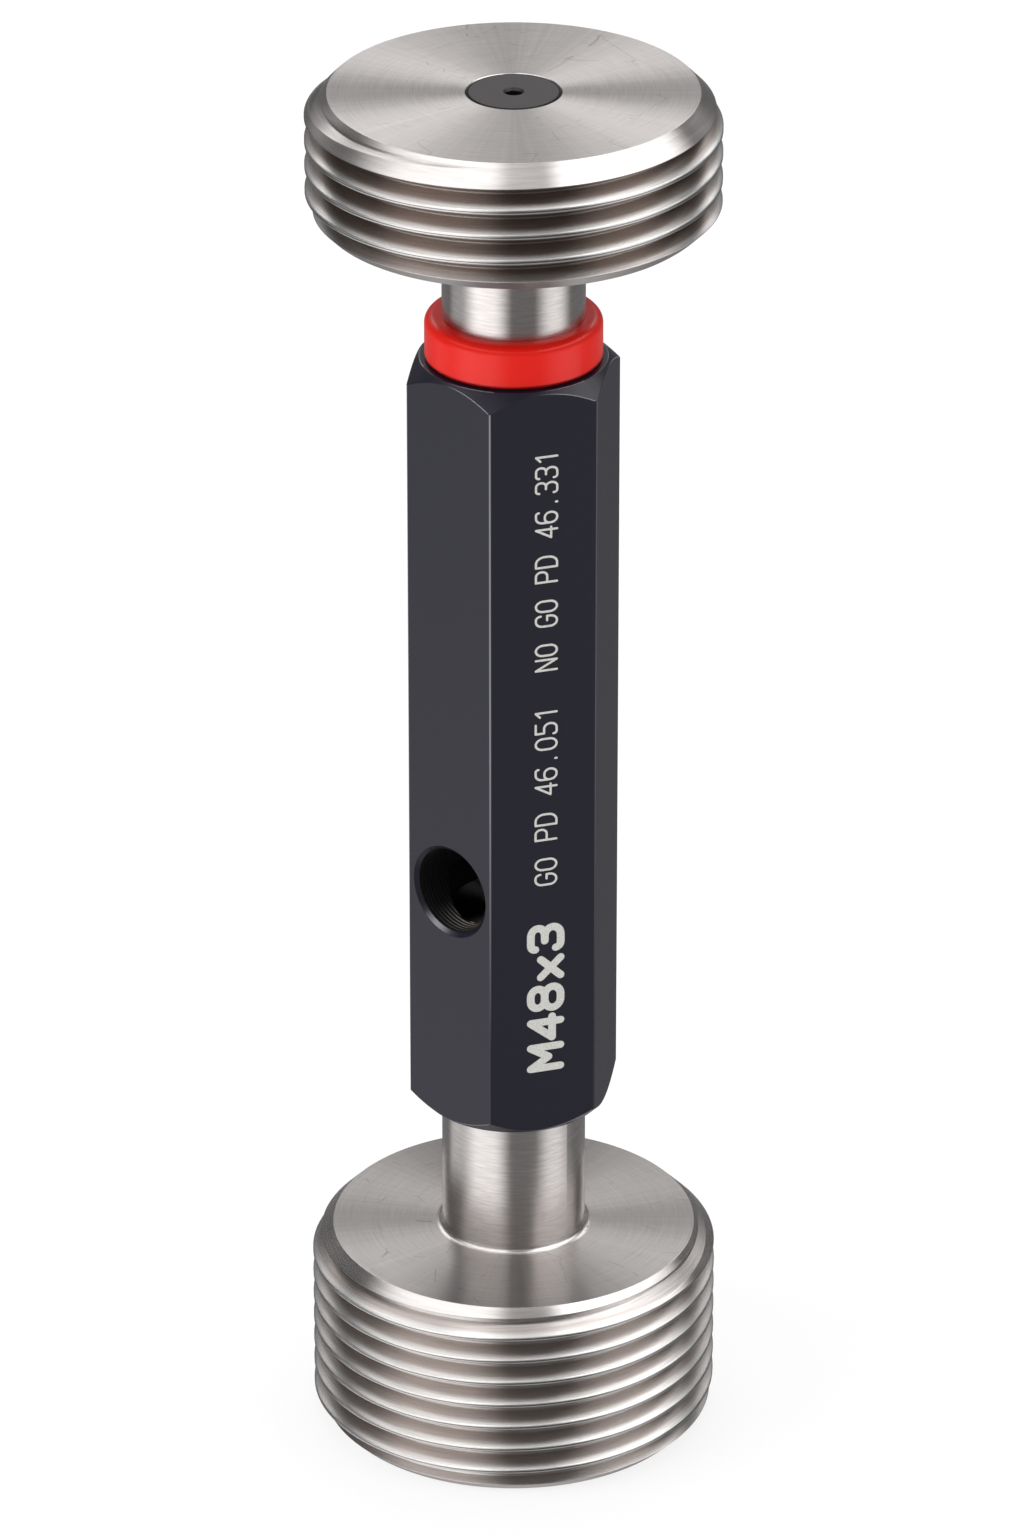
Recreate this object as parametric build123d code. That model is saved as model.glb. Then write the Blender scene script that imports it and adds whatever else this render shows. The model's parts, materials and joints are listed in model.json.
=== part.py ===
from build123d import *
import math
import os

# Double-ended thread plug gauge, M48 x 3, right hand, on a hexagon handle. Millimetres.
# It stands on its GO face. The origin is the centre of that face, and +Z runs up the gauge's axis.
# The handle has two of its flats square to Y, and its cross hole runs along Y.

# The thread that both ends share
pitch = 3.0
flank_angle = 30.0          # of each flank, from a plane square to the axis
cutter_overrun = 0.2        # the thread cutter stands this far out of the crest
run_out_turns = 1.5         # the groove is cut this many turns past both ends of a head

# GO end: full length, full depth of thread
go_major_dia = 48.0
go_thread_depth = 1.95      # on the radius, from the crest to the flat of the root
go_crest_flat = 0.38
go_head_length = 24.4
go_end_chamfer = 2.0        # at 45 degrees, on the outer face
go_shoulder_chamfer = 2.45  # at 45 degrees, on the shoulder that faces the handle
go_start_angle = -102.0     # where a crest crosses the end face
go_neck_dia = 17.0

# NO-GO end: short, with a crest that is cut back
no_go_major_dia = 47.2
no_go_thread_depth = 2.05
no_go_crest_flat = 0.45
no_go_head_length = 14.7
no_go_end_chamfer = 2.55
no_go_shoulder_chamfer = 1.7
no_go_start_angle = 6.0
no_go_neck_dia = 16.4

# What both members share
neck_length = 17.55         # from the head's shoulder to the handle's end face
neck_foot_radius = 0.8
seat_gap = 0.25             # the neck stops short of the handle, so that the taper seats first
shank_length = 25.0         # how far the tapered shank reaches into the handle
shank_end_chamfer = 0.6

# Hexagon handle
handle_length = 95.0
handle_across_flats = 22.2
handle_edge_radius = 0.25   # along the six long edges
handle_end_flat_dia = 21.6  # where the 45 degree end cones start
socket_mouth_dia = 16.0
socket_depth = 30.0
taper_ratio = 50.0          # the socket narrows by 1 mm over this length
taper_clearance = 0.015     # on the radius, between shank and socket
mouth_chamfer = 0.4
pilot_bore_dia = 12.0
cross_hole_dia = 10.4
cross_hole_height = 30.5    # from the handle's GO end
cross_hole_chamfer = 0.5

# Red marker ring round the NO-GO neck
ring_dia = 20.4
ring_height = 5.2
ring_clearance = 0.03       # on the radius, over the neck
ring_top_radius = 1.1
ring_foot_radius = 0.45

# Black centre plug, flush in each outer face
plug_dia = 10.7
plug_length = 8.0
plug_clearance = 0.015      # on the radius
plug_floor_gap = 0.2
plug_edge_break = 0.1
plug_seat_break = 0.15
centre_hole_dia = 2.0
centre_hole_depth = 5.0
centre_mouth_dia = 2.4
centre_mouth_angle = 60.0   # whole angle of the small cone at the mouth

handle_foot = go_head_length + neck_length
handle_top = handle_foot + handle_length
total_height = handle_top + neck_length + no_go_head_length


def socket_radius(depth):
    """Radius of the handle's tapered socket at a depth below its mouth."""
    return (socket_mouth_dia - depth / taper_ratio) / 2


def member_outline(major_dia, end_chamfer, shoulder_chamfer, head_length, neck_dia):
    """Turned outline of a member with its outer face on z = 0: head, neck and tapered shank.

    The head's rim stands out past the thread's crest, which the threaded bar gives.
    """
    stock_r = major_dia / 2 + cutter_overrun
    end_rim_r = major_dia / 2 - end_chamfer
    shoulder_rim_r = major_dia / 2 - shoulder_chamfer
    neck_r = neck_dia / 2
    mouth = head_length + neck_length
    tip = mouth + shank_length
    neck_end = mouth - seat_gap
    chamfer_start = tip - shank_end_chamfer
    shank_r = socket_radius(-seat_gap) - taper_clearance
    chamfer_r = socket_radius(chamfer_start - mouth) - taper_clearance
    with BuildPart() as outline:
        with BuildSketch(Plane.XZ):
            with BuildLine():
                Polyline(
                    (0, 0),
                    (end_rim_r, 0),
                    (stock_r, stock_r - end_rim_r),
                    (stock_r, head_length - stock_r + shoulder_rim_r),
                    (shoulder_rim_r, head_length),
                    (neck_r + neck_foot_radius, head_length),
                )
                TangentArc(
                    (neck_r + neck_foot_radius, head_length),
                    (neck_r, head_length + neck_foot_radius),
                    tangent=(-1, 0),
                )
                Polyline(
                    (neck_r, head_length + neck_foot_radius),
                    (neck_r, neck_end),
                    (shank_r, neck_end),
                    (chamfer_r, chamfer_start),
                    (chamfer_r - shank_end_chamfer, tip),
                    (0, tip),
                    (0, 0),
                )
            make_face()
        revolve(axis=Axis.Z)
    return outline.part


def threaded_bar(major_dia, thread_depth, crest_flat, head_length, start_angle):
    """Round bar with one helical groove of a true 60 degree section, longer than the head at both ends."""
    bar_r = major_dia / 2
    root_r = bar_r - thread_depth
    out_r = bar_r + cutter_overrun
    flank_slope = math.tan(math.radians(flank_angle))
    mouth_width = pitch - crest_flat
    half_root = mouth_width / 2 - flank_slope * thread_depth
    half_out = mouth_width / 2 + flank_slope * cutter_overrun
    run_out = run_out_turns * pitch
    with BuildSketch(Plane.XZ) as section:
        with BuildLine():
            Polyline(
                (root_r, -half_root),
                (out_r, -half_out),
                (out_r, half_out),
                (root_r, half_root),
                close=True,
            )
        make_face()
    groove = sweep(section.sketch, path=Helix(pitch, head_length + 2 * run_out, root_r), is_frenet=True)
    bar_foot = -2 * run_out
    bar_length = head_length + neck_length + shank_length - 2 * bar_foot
    bar = Cylinder(bar_r, bar_length, align=(Align.CENTER, Align.CENTER, Align.MIN))
    return Pos(0, 0, bar_foot) * bar - Rot(0, 0, start_angle) * Pos(0, 0, -run_out) * groove


def plug_seat():
    """Blind bore in a head's outer face, with its edge broken."""
    seat_r = plug_dia / 2 + plug_clearance
    upwards = (Align.CENTER, Align.CENTER, Align.MIN)
    bore = Cylinder(seat_r, plug_length + plug_floor_gap, align=upwards)
    edge = Cone(seat_r + plug_seat_break, seat_r, plug_seat_break, align=upwards)
    return bore + edge


def gauge_member(
    major_dia, thread_depth, crest_flat, end_chamfer, shoulder_chamfer, head_length, start_angle, neck_dia
):
    """One gauging member, with its outer face on z = 0 and its shank upwards."""
    bar = threaded_bar(major_dia, thread_depth, crest_flat, head_length, start_angle)
    outline = member_outline(major_dia, end_chamfer, shoulder_chamfer, head_length, neck_dia)
    return (bar & outline) - plug_seat()


def centre_plug():
    """Round plug, flush with z = 0, with a centre-drilled hole in its outer face."""
    plug_r = plug_dia / 2
    mouth_r = centre_mouth_dia / 2
    hole_r = centre_hole_dia / 2
    mouth_depth = (mouth_r - hole_r) / math.tan(math.radians(centre_mouth_angle / 2))
    with BuildPart() as plug:
        with BuildSketch(Plane.XZ):
            with BuildLine():
                Polyline(
                    (mouth_r, 0),
                    (plug_r - plug_edge_break, 0),
                    (plug_r, plug_edge_break),
                    (plug_r, plug_length - plug_edge_break),
                    (plug_r - plug_edge_break, plug_length),
                    (0, plug_length),
                    (0, centre_hole_depth),
                    (hole_r, centre_hole_depth),
                    (hole_r, mouth_depth),
                    close=True,
                )
            make_face()
        revolve(axis=Axis.Z)
    return plug.part


def at_no_go_end(piece):
    """Turns a piece that was made on z = 0 over, onto the top face of the gauge."""
    return Pos(0, 0, total_height) * Rot(0, 180, 0) * piece


def end_cones():
    """Turned outline of the handle: a cylinder over the corners, with a 45 degree cone at each end."""
    flat_r = handle_end_flat_dia / 2
    corner_r = handle_across_flats / math.sqrt(3)
    with BuildPart() as outline:
        with BuildSketch(Plane.XZ):
            with BuildLine():
                Polyline(
                    (0, 0),
                    (flat_r, 0),
                    (corner_r, corner_r - flat_r),
                    (corner_r, handle_length - corner_r + flat_r),
                    (flat_r, handle_length),
                    (0, handle_length),
                    close=True,
                )
            make_face()
        revolve(axis=Axis.Z)
    return outline.part


def tapered_socket():
    """Cutter of one socket, with its mouth on z = 0, its mouth chamfer and the pilot bore to half length."""
    mouth_r = socket_mouth_dia / 2
    with BuildPart() as cutter:
        with BuildSketch(Plane.XZ):
            with BuildLine():
                Polyline(
                    (0, 0),
                    (mouth_r + mouth_chamfer, 0),
                    (socket_radius(mouth_chamfer), mouth_chamfer),
                    (socket_radius(socket_depth), socket_depth),
                    (pilot_bore_dia / 2, socket_depth),
                    (pilot_bore_dia / 2, handle_length / 2),
                    (0, handle_length / 2),
                    close=True,
                )
            make_face()
        revolve(axis=Axis.Z)
    return cutter.part


def cross_hole():
    """Drilled right through, from flat to flat along Y, with both mouths chamfered."""
    hole_r = cross_hole_dia / 2
    half_width = handle_across_flats / 2
    with BuildPart() as cutter:
        with BuildSketch(Plane.XY):
            with BuildLine():
                Polyline(
                    (0, -half_width),
                    (hole_r + cross_hole_chamfer, -half_width),
                    (hole_r, cross_hole_chamfer - half_width),
                    (hole_r, half_width - cross_hole_chamfer),
                    (hole_r + cross_hole_chamfer, half_width),
                    (0, half_width),
                    close=True,
                )
            make_face()
        revolve(axis=Axis.Y)
    return Pos(0, 0, cross_hole_height) * cutter.part


def hexagon_handle():
    """Hexagon bar, turned at both ends, bored and tapered from both ends and cross-drilled."""
    with BuildPart() as bar:
        with BuildSketch():
            hexagon = RegularPolygon(handle_across_flats / 2, 6, major_radius=False)
            fillet(hexagon.vertices(), handle_edge_radius)
        extrude(amount=handle_length)
    lower_socket = tapered_socket()
    upper_socket = Pos(0, 0, handle_length) * Rot(0, 180, 0) * tapered_socket()
    handle = (bar.part & end_cones()) - lower_socket - upper_socket - cross_hole()
    return Pos(0, 0, handle_foot) * handle


def marker_ring():
    """Moulded red ring that slips over the NO-GO neck and rests on the handle's top face."""
    inner_r = no_go_neck_dia / 2 + ring_clearance
    outer_r = ring_dia / 2
    with BuildPart() as ring:
        with BuildSketch(Plane.XZ):
            with BuildLine():
                Line((inner_r, 0), (outer_r - ring_foot_radius, 0))
                TangentArc(
                    (outer_r - ring_foot_radius, 0), (outer_r, ring_foot_radius), tangent=(1, 0)
                )
                Line((outer_r, ring_foot_radius), (outer_r, ring_height - ring_top_radius))
                TangentArc(
                    (outer_r, ring_height - ring_top_radius),
                    (outer_r - ring_top_radius, ring_height),
                    tangent=(0, 1),
                )
                Polyline((outer_r - ring_top_radius, ring_height), (inner_r, ring_height), (inner_r, 0))
            make_face()
        revolve(axis=Axis.Z)
    return Pos(0, 0, handle_top) * ring.part


nodes = {
    "go_member": gauge_member(
        go_major_dia, go_thread_depth, go_crest_flat, go_end_chamfer, go_shoulder_chamfer,
        go_head_length, go_start_angle, go_neck_dia,
    ),
    "no_go_member": at_no_go_end(gauge_member(
        no_go_major_dia, no_go_thread_depth, no_go_crest_flat, no_go_end_chamfer, no_go_shoulder_chamfer,
        no_go_head_length, no_go_start_angle, no_go_neck_dia,
    )),
    "handle": hexagon_handle(),
    "no_go_ring": marker_ring(),
    "go_centre_plug": centre_plug(),
    "no_go_centre_plug": at_no_go_end(centre_plug()),
}

os.makedirs("parts", exist_ok=True)
for name, solid in nodes.items():
    export_step(solid, f"parts/{name}.step")
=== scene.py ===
import cmath
import json
import math

import bmesh
import bpy
from mathutils import Matrix, Vector
from mathutils.geometry import delaunay_2d_cdt


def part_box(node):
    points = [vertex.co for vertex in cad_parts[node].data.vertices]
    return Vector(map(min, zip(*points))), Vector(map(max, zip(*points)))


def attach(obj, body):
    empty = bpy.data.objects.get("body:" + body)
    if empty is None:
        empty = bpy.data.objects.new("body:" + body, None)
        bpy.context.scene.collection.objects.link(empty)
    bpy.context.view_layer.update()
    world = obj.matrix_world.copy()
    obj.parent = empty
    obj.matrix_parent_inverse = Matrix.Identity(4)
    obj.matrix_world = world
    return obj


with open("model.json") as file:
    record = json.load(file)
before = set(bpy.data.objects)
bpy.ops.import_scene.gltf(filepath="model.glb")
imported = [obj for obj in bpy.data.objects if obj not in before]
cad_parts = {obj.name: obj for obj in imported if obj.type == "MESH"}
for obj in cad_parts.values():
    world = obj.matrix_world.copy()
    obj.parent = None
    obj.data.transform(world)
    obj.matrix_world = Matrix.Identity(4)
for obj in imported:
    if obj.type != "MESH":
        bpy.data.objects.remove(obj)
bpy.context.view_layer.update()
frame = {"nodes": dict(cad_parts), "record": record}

# Thread plug gauge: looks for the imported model. Metres and camelCase names throughout.

mm = 0.001
print("frame loaded:", ", ".join(sorted(frame["nodes"])))

# Shared by several materials
noiseRange = (0.3, 0.7)       # nearly all of a noise node's values lie between these
noiseMiddle = 0.5
bevelSamples = 6


def linear(hexColour):
    # sRGB hex to the linear colour that a shader socket wants
    channels = [int(hexColour[i:i + 2], 16) / 255 for i in (0, 2, 4)]
    return [c / 12.92 if c <= 0.04045 else ((c + 0.055) / 1.055) ** 2.4 for c in channels] + [1]


def addNode(tree, kind, settings=None, **inputs):
    # one node, its settings, and for each input a value or another node's output socket
    node = tree.nodes.new(kind)
    for key, value in (settings or {}).items():
        setattr(node, key, value)
    for key, value in inputs.items():
        socket = node.inputs[int(key[1:])] if key[0] == "i" and key[1:].isdigit() else node.inputs[key]
        if isinstance(value, bpy.types.NodeSocket):
            tree.links.new(value, socket)
        else:
            socket.default_value = value
    return node


def maths(tree, operation, *values, clamp=False):
    # what a Math node makes of its values
    settings = {"operation": operation, "use_clamp": clamp}
    inputs = {"i%d" % index: value for index, value in enumerate(values)}
    return addNode(tree, "ShaderNodeMath", settings, **inputs).outputs[0]


def fade(tree, value, start, end, low=0.0, high=1.0, smooth=False):
    # goes from low to high while the value goes from start to end, and stays level outside
    settings = {"interpolation_type": "SMOOTHSTEP" if smooth else "LINEAR"}
    return addNode(tree, "ShaderNodeMapRange", settings,
                   Value=value, i1=start, i2=end, i3=low, i4=high).outputs[0]


def mixColours(tree, share, first, second):
    return addNode(tree, "ShaderNodeMix", {"data_type": "RGBA"},
                   Factor=share, i6=first, i7=second).outputs[2]


def newMaterial(name):
    material = bpy.data.materials.new(name)
    material.use_nodes = True
    material.node_tree.nodes.clear()
    return material, material.node_tree


def finishMaterial(tree, shader):
    out = tree.nodes.new("ShaderNodeOutputMaterial")
    tree.links.new(shader, out.inputs["Surface"])


def dress(nodeName, material):
    # a CAD node keeps its mesh and gets a finish
    piece = frame["nodes"][nodeName]
    piece.data.materials.clear()
    piece.data.materials.append(material)


# Camera: the photograph's view
camera = {
    "azimuth": 42.2,          # degrees round the gauge, from -Y towards +X
    "elevation": 26.403,
    "distance": 1.0184,
    "targetHeight": 0.08443,
    "sideways": -0.000191,
    "lens": 204.85,           # mm
    "sensor": 36,             # mm, on the frame's long side
}


def makeCamera():
    turn = Matrix.Rotation(math.radians(camera["azimuth"]), 4, "Z")
    tilt = math.radians(camera["elevation"])
    target = turn @ Vector((camera["sideways"], 0, camera["targetHeight"]))
    back = turn @ Vector((0, -math.cos(tilt), math.sin(tilt)))
    data = bpy.data.cameras.new("camera")
    data.lens = camera["lens"]
    data.sensor_width = camera["sensor"]
    data.clip_start = 0.05
    data.clip_end = 50
    cam = bpy.data.objects.new("camera", data)
    cam.location = target + back * camera["distance"]
    cam.rotation_mode = "QUATERNION"
    cam.rotation_quaternion = (-back).to_track_quat("-Z", "Y")
    bpy.context.scene.collection.objects.link(cam)
    bpy.context.scene.camera = cam


makeCamera()
print("camera placed")


# Studio: a white floor, a light tent that polished metal mirrors, and soft lamps
studio = {
    "floorRadius": 8.0,
    "floorWhite": "FBFBFB",
    "floorGlow": 0.79,        # share of the floor's white that no shadow takes away, for the camera only
    "nearFloor": 0.3,         # from here on that share grows, and all of the far floor is white
    "farFloor": 1.5,
    "worldStrength": 0.76,
    "tentRadius": 2.5,
    "tentHeight": 0.09,       # the tent's middle, about half way up the gauge
    "tentTurn": 42.2,         # the tent's front faces the photograph's camera
    "lampAim": 0.08,          # the lamps point at this height
}
# Bright panels of the tent: degrees from its front (positive to the right) and above the floor
tentPanels = [
    {"azimuth": -53, "halfWidth": 44, "elevation": 60, "halfHeight": 32, "soft": 14, "strength": 2.0},
    {"azimuth": 78, "halfWidth": 44, "elevation": 50, "halfHeight": 24, "soft": 10, "strength": 2.70},
    {"azimuth": 0, "halfWidth": 34, "elevation": 38, "halfHeight": 8, "soft": 8, "strength": 0.95},
    {"azimuth": 0, "halfWidth": 200, "elevation": 86, "halfHeight": 16, "soft": 8, "strength": 1.90},
    {"azimuth": -128, "halfWidth": 26, "elevation": 56, "halfHeight": 13, "soft": 10, "strength": 1.40},
    {"azimuth": -46, "halfWidth": 31, "elevation": -17, "halfHeight": 16, "soft": 20, "strength": 2.45},
    {"azimuth": 68, "halfWidth": 24, "elevation": -17, "halfHeight": 18, "soft": 20, "strength": 1.65},
    {"azimuth": -160, "halfWidth": 12, "elevation": 38, "halfHeight": 10, "soft": 7, "strength": 3.70},
    {"azimuth": 160, "halfWidth": 12, "elevation": 37, "halfHeight": 9, "soft": 7, "strength": 3.70},
    {"azimuth": 180, "halfWidth": 50, "elevation": 28, "halfHeight": 16, "soft": 14, "strength": 0.46},
    {"azimuth": -84, "halfWidth": 40, "elevation": -42, "halfHeight": 20, "soft": 12, "strength": 1.05},
]
# Grey of the tent between the panels, by height above the floor
tentWalls = [
    (-90, 0.75), (-64, 0.62), (-46, 0.26), (-15, 0.20),
    (5, 0.12), (45, 0.16), (62, 0.32), (90, 0.50),
]


def tentMaterial():
    material, tree = newMaterial("tentFabric")
    coords = addNode(tree, "ShaderNodeTexCoord")
    unit = addNode(tree, "ShaderNodeVectorMath", {"operation": "NORMALIZE"}, i0=coords.outputs["Object"])
    axes = addNode(tree, "ShaderNodeSeparateXYZ", None, i0=unit.outputs[0])
    toFront = maths(tree, "MULTIPLY", axes.outputs["Y"], -1.0)
    azimuth = maths(tree, "ARCTAN2", axes.outputs["X"], toFront)
    elevation = maths(tree, "ARCSINE", axes.outputs["Z"])
    height = fade(tree, elevation, -math.pi / 2, math.pi / 2)
    walls = addNode(tree, "ShaderNodeValToRGB", None, Fac=height)
    ramp = walls.color_ramp
    while len(ramp.elements) < len(tentWalls):
        ramp.elements.new(0.5)
    for element, (degrees, grey) in zip(ramp.elements, tentWalls):
        element.position = (degrees + 90) / 180
        element.color = (grey, grey, grey, 1)
    light = walls.outputs["Color"]
    for panel in tentPanels:
        masks = []
        for angle, centre, half in ((azimuth, panel["azimuth"], panel["halfWidth"]),
                                    (elevation, panel["elevation"], panel["halfHeight"])):
            off = maths(tree, "SUBTRACT", angle, math.radians(centre))
            near = maths(tree, "WRAP", off, math.pi, -math.pi)
            size = maths(tree, "ABSOLUTE", near)
            start, end = math.radians(half - panel["soft"]), math.radians(half + panel["soft"])
            masks.append(fade(tree, size, start, end, 1.0, 0.0, smooth=True))
        mask = maths(tree, "MULTIPLY", *masks)
        glow = maths(tree, "MULTIPLY", mask, panel["strength"])
        light = maths(tree, "MAXIMUM", light, glow)
    finishMaterial(tree, addNode(tree, "ShaderNodeEmission", None, Color=light, Strength=1.0).outputs[0])
    material.cycles.emission_sampling = "NONE"
    return material


def makeTent():
    mesh = bpy.data.meshes.new("light_tent")
    bm = bmesh.new()
    bmesh.ops.create_uvsphere(bm, u_segments=48, v_segments=24, radius=studio["tentRadius"])
    bm.to_mesh(mesh)
    bm.free()
    mesh.materials.append(tentMaterial())
    tent = bpy.data.objects.new("light_tent", mesh)
    tent.location = (0, 0, studio["tentHeight"])
    tent.rotation_euler = (0, 0, math.radians(studio["tentTurn"]))
    # only mirror-like rays meet the tent
    tent.visible_camera = tent.visible_diffuse = tent.visible_transmission = tent.visible_shadow = False
    bpy.context.scene.collection.objects.link(tent)


def makeFloor():
    material, tree = newMaterial("paperSweep")
    white = linear(studio["floorWhite"])
    paper = addNode(tree, "ShaderNodeBsdfDiffuse", None, Color=white)
    glow = addNode(tree, "ShaderNodeEmission", None, Color=(1, 1, 1, 1), Strength=1.0)
    path = addNode(tree, "ShaderNodeLightPath")
    place = addNode(tree, "ShaderNodeTexCoord").outputs["Object"]
    away = addNode(tree, "ShaderNodeVectorMath", {"operation": "LENGTH"}, i0=place)
    glowing = fade(tree, away.outputs["Value"], studio["nearFloor"], studio["farFloor"],
                   studio["floorGlow"], 1.0)
    share = maths(tree, "MULTIPLY", path.outputs["Is Camera Ray"], glowing)
    mixed = addNode(tree, "ShaderNodeMixShader", None, Fac=share, i1=paper.outputs[0], i2=glow.outputs[0])
    finishMaterial(tree, mixed.outputs[0])
    material.cycles.emission_sampling = "NONE"
    mesh = bpy.data.meshes.new("floor")
    bm = bmesh.new()
    bmesh.ops.create_circle(bm, cap_ends=True, segments=96, radius=studio["floorRadius"])
    bm.to_mesh(mesh)
    bm.free()
    mesh.materials.append(material)
    floor = bpy.data.objects.new("floor", mesh)
    floor.visible_glossy = False   # polished metal mirrors the tent, also below the table's height
    bpy.context.scene.collection.objects.link(floor)


def makeWorld():
    world = bpy.data.worlds.new("studioWorld")
    bpy.context.scene.world = world
    world.use_nodes = True
    tree = world.node_tree
    tree.nodes.clear()
    path = addNode(tree, "ShaderNodeLightPath")
    # the camera sees plain white behind the floor, and the gauge is lit a little less
    strength = fade(tree, path.outputs["Is Camera Ray"], 0.0, 1.0, studio["worldStrength"], 1.0)
    sky = addNode(tree, "ShaderNodeBackground", None, Color=(1, 1, 1, 1), Strength=strength)
    out = tree.nodes.new("ShaderNodeOutputWorld")
    tree.links.new(sky.outputs[0], out.inputs["Surface"])
    world.cycles_visibility.glossy = False


# Soft lamps for paint, plastic and the floor: degrees round and above, metres, watts
lamps = [
    {"name": "keyLamp", "azimuth": -68, "elevation": 36, "distance": 1.6, "size": 1.1, "power": 9.5},
    {"name": "fillLamp", "azimuth": 62, "elevation": 40, "distance": 1.8, "size": 1.2, "power": 5.5},
    {"name": "topLamp", "azimuth": 170, "elevation": 72, "distance": 1.7, "size": 1.2, "power": 8},
]


def makeLamps():
    for lamp in lamps:
        data = bpy.data.lights.new(lamp["name"], "AREA")
        data.shape = "DISK"
        data.size = lamp["size"]
        data.energy = lamp["power"]
        around = math.radians(lamp["azimuth"] + studio["tentTurn"])
        up = math.radians(lamp["elevation"])
        towards = Vector((math.sin(around) * math.cos(up), -math.cos(around) * math.cos(up), math.sin(up)))
        light = bpy.data.objects.new(lamp["name"], data)
        light.location = towards * lamp["distance"] + Vector((0, 0, studio["lampAim"]))
        light.rotation_mode = "QUATERNION"
        light.rotation_quaternion = (-towards).to_track_quat("-Z", "Y")
        light.visible_glossy = False   # the tent gives the reflections
        bpy.context.scene.collection.objects.link(light)


makeTent()
makeFloor()
makeWorld()
makeLamps()
bpy.context.scene.view_settings.view_transform = "Standard"
print("studio set")


# Gauge steel: hardened tool steel, turned and then ground. Its cutting lay runs round the axis on every
# surface, so highlights stretch across it: fans on the flat faces and upright bands on the necks.
steel = {
    "colour": "D0CBC9",
    "groundColour": "E6E3E1",   # the crests and the bands beside them
    "flankFinishAndShadeColours": {"go_member": "C0B8B4", "no_go_member": "A59A94"},   # a turned, duller finish, a little brown, and painted shade deeper in the groove; darker on the NO-GO member
    "shoulderPaintedShade": 0.70,    # painted shade: the shoulders, which face the handle, are made darker than the end faces
    "roughness": 0.23,        # threads, necks and chamfers
    "faceRoughness": 0.36,    # faced ends, a coarser cut
    "shoulderRoughness": 0.29,   # a finer cut, in which the neck can be seen
    "anisotropic": 0.92,
    "headShare": 0.8,         # of the rim's radius: further out there is only the threaded head
    "flatLimit": 0.95,        # cosine of a surface's lean, above which it is a flat face
    "flatFade": (0.90, 0.99),   # and between which it comes to look like one
    "chamferMargin": 0.06,    # this near to the cosine of 45 degrees it is a chamfer
    "groundReach": 0.25 * mm,   # the crests' bright ground band reaches this far down; below it the groove gets the flank colour with its painted shade
    "groundFade": 0.95 * mm,    # and its edge fades out here
    "runOut": 1.6 * mm,       # the thread's colours, with the painted groove shade, stop this far from the thread's ends
    "runOutFade": 0.48 * mm,
    "edgeBreak": 0.10 * mm,   # stoned edges
    "crestBreak": 0.28 * mm,  # the crests' edges are rounder
    "pitch": 3.0 * mm,
    "crestDepth": 0.02 * mm,  # this near to the rim a corner of the mesh lies on the crest
    "lineFromEdge": 0.20 * mm,   # a dark line along each crest, near its lower edge
    "lineWidth": 0.15 * mm,
    "lineSoft": 0.5,          # share of the line's half width over which each side fades, in and out
    "lineDepth": 0.05 * mm,   # this far below the rim the line ends
    "lineShade": 0.30,
    "laySpacing": 0.16 * mm,  # a real lay is about 0.03 mm; drawn coarser, so that it shows
    "layRise": 0.62,          # weight of height against radius; at 1 some chamfers would show no lines
    "layArc": 3.0,            # how quickly one line changes along its way round
    "layDepth": 0.005 * mm,
    "layContrast": 0.18,
    "markSpacing": 9.0 * mm,  # hairline handling marks
    "markWidth": 0.05 * mm,
    "markBend": 0.35,         # bends in a mark, and pieces of it, for each spacing
    "markPieces": 3.0,
    "markGap": 0.56,          # the noise has to be above this for a piece to show
    "markContrast": 0.26,
    "rayCount": 26.0,         # rays on the flat faces, where the cut was a little deeper
    "rayContrast": 0.30,
}


def radiusFromAxis(tree, place):
    flat = addNode(tree, "ShaderNodeVectorMath", {"operation": "MULTIPLY"}, i0=place, i1=(1, 1, 0))
    return addNode(tree, "ShaderNodeVectorMath", {"operation": "LENGTH"},
                   i0=flat.outputs[0]).outputs["Value"]


def turningLay(tree, place, radius):
    # fine lines that run round the axis; one coordinate crosses them on faces, cylinders and flanks alike.
    # The second output changes only round the axis, for the rays.
    height = addNode(tree, "ShaderNodeSeparateXYZ", None, i0=place).outputs["Z"]
    across = maths(tree, "MULTIPLY_ADD", height, steel["layRise"], radius)
    fine = maths(tree, "DIVIDE", across, steel["laySpacing"])
    flat = addNode(tree, "ShaderNodeVectorMath", {"operation": "MULTIPLY"}, i0=place, i1=(1, 1, 0))
    around = addNode(tree, "ShaderNodeVectorMath", {"operation": "NORMALIZE"}, i0=flat.outputs[0])
    turned = addNode(tree, "ShaderNodeVectorMath", {"operation": "SCALE"},
                     i0=around.outputs[0], Scale=steel["layArc"])
    axes = addNode(tree, "ShaderNodeSeparateXYZ", None, i0=turned.outputs[0])
    point = addNode(tree, "ShaderNodeCombineXYZ", None, X=axes.outputs["X"], Y=axes.outputs["Y"], Z=fine)
    noise = addNode(tree, "ShaderNodeTexNoise", None,
                    Vector=point.outputs[0], Scale=1.0, Detail=3.0, Roughness=0.6)
    outward = addNode(tree, "ShaderNodeVectorMath", {"operation": "SCALE"},
                      i0=around.outputs[0], Scale=steel["rayCount"])
    rays = addNode(tree, "ShaderNodeTexNoise", None,
                   Vector=outward.outputs[0], Scale=1.0, Detail=3.0, Roughness=0.7)
    return noise.outputs["Fac"], rays.outputs["Fac"]


def headSpan(nodeName):
    # the lowest and highest point of a member's threaded head, and its radius
    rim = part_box(nodeName)[1][0]
    corners = [v.co for v in frame["nodes"][nodeName].data.vertices]
    heights = [c.z for c in corners if math.hypot(c.x, c.y) > steel["headShare"] * rim]
    return min(heights), max(heights), rim


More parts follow.
